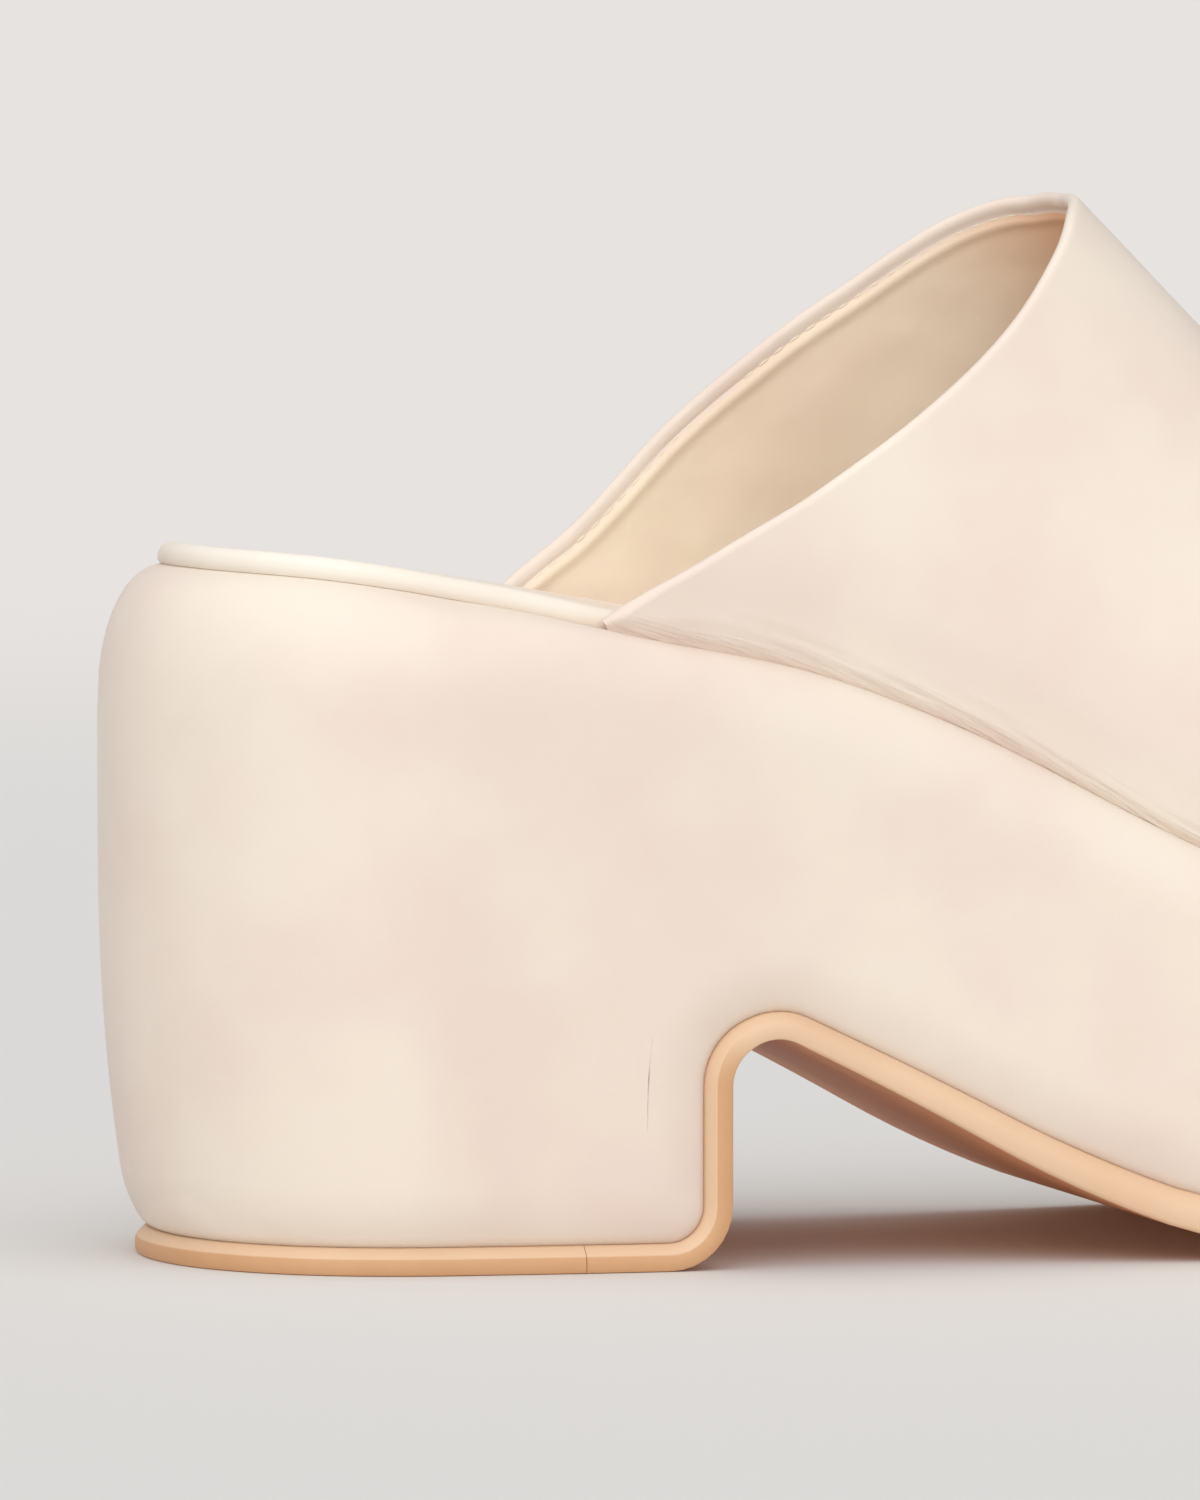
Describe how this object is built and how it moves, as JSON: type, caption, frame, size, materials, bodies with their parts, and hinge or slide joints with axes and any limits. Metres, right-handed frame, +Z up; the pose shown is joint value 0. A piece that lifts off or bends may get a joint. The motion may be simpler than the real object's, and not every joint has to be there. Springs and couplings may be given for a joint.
{
  "type": "clog",
  "caption": "Right platform clog: closed round toe, open back, block heel and platform wrapped in cream leather, tan rubber sole through the arch.",
  "frame": {"origin": "on the floor, in the middle of the shoe's bounding box seen from above", "axes": "+X towards the toe, +Y towards the inner side of the foot, -Y towards its outer side, +Z up"},
  "size_m": [0.26, 0.0958, 0.1336],
  "materials": {
    "cream_leather": "smooth, soft sheen",
    "cream_sock_leather": "smooth, matt",
    "tan_rubber": "satin, sanded edge"
  },
  "bodies": {
    "root": {"heel_top_piece": "tan_rubber", "outsole": "tan_rubber", "platform": "cream_leather", "insole": "cream_sock_leather", "upper": "cream_leather"}
  },
  "joints": []
}
